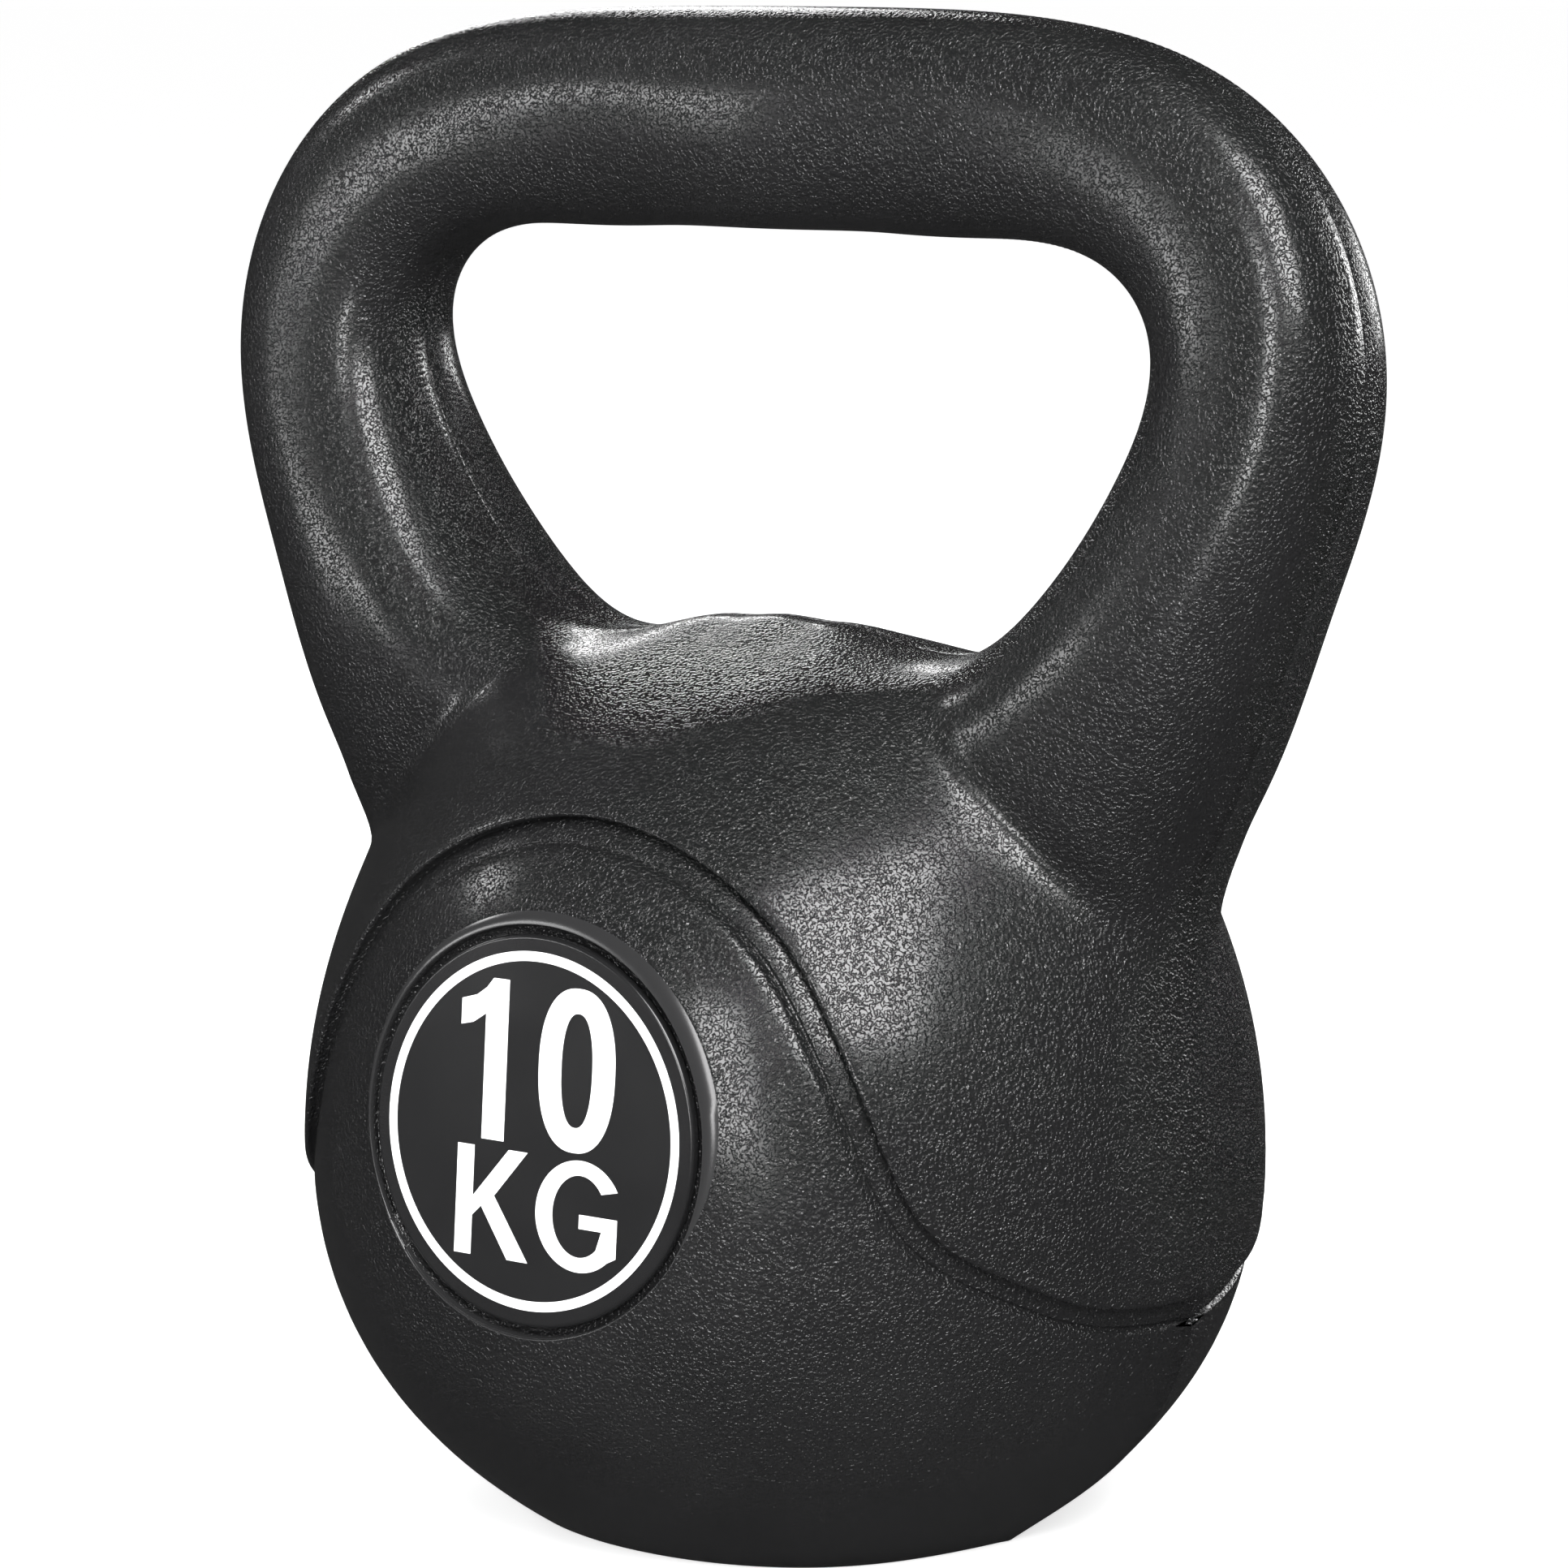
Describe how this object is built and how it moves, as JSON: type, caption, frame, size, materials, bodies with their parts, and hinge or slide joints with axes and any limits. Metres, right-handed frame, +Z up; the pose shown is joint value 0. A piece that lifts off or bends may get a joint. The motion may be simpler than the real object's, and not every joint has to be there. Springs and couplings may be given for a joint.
{
  "type": "kettlebell",
  "caption": "Kettlebell with a wide loop handle, a rounded body with an arched raised hood, a flat base and a round weight badge on each face.",
  "frame": {"origin": "middle of the flat base, on the floor", "axes": "+Z up, front badge faces -Y, the handle runs along X"},
  "size_m": [0.2512, 0.168, 0.29],
  "materials": {
    "shell": "fine pebble grain, satin",
    "badge": "smooth satin",
    "print": "raised white print",
    "adhesive": "foam tape",
    "filling": "cast cement and iron sand",
    "plug": "smooth satin"
  },
  "bodies": {
    "root": {"front_shell": "shell", "back_shell": "shell", "ballast_core": "filling", "fill_plug": "plug", "front_badge": "badge", "front_adhesive": "adhesive", "front_ring": "print", "front_figure_one": "print", "front_figure_nought": "print", "front_unit_first": "print", "front_unit_second": "print", "back_badge": "badge", "back_adhesive": "adhesive", "back_ring": "print", "back_figure_one": "print", "back_figure_nought": "print", "back_unit_first": "print", "back_unit_second": "print"}
  },
  "joints": []
}
